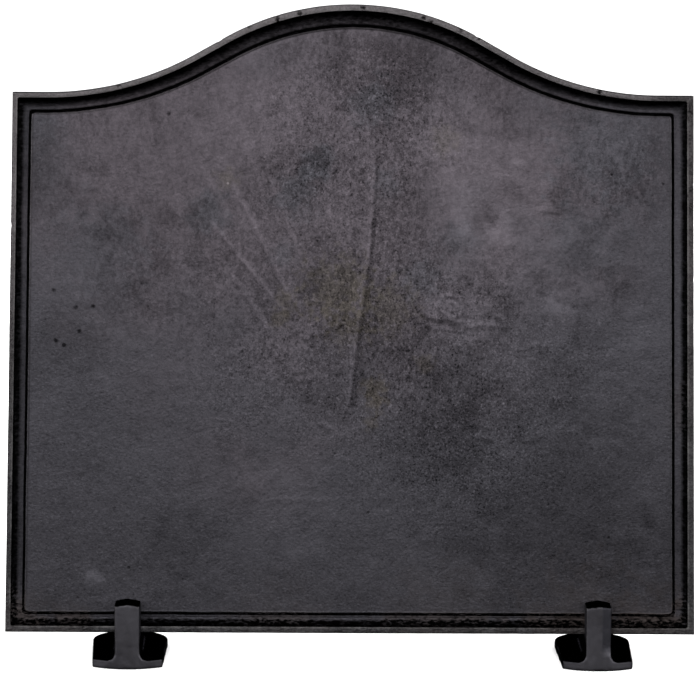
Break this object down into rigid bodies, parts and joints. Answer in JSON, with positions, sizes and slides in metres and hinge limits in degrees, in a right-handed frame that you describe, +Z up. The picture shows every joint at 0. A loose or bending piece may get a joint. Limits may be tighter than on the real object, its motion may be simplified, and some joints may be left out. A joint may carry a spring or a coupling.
{
  "type": "fireback",
  "caption": "Cast-iron fireback: arched plate with a moulded border, standing in loose slotted feet that slide along its bottom edge.",
  "frame": {"origin": "on the hearth, under the middle of the whole object", "axes": "+X along the plate from left to right as seen from the front, +Y from the moulded front to the back, +Z up"},
  "size_m": [0.6, 0.122, 0.5721],
  "materials": {
    "plate_iron": "sand cast, blackened",
    "foot_iron": "sand cast, blackened"
  },
  "bodies": {
    "plate": {"fireback_plate": "plate_iron"},
    "left_foot": {"left_foot": "foot_iron"},
    "right_foot": {"right_foot": "foot_iron"}
  },
  "joints": [
    {"name": "left_foot_slide", "type": "slide", "parent": "plate", "child": "left_foot", "axis": [1, 0, 0], "range_m": [-0.096, 0.153]},
    {"name": "right_foot_slide", "type": "slide", "parent": "plate", "child": "right_foot", "axis": [1, 0, 0], "range_m": [-0.175, 0.074]}
  ]
}
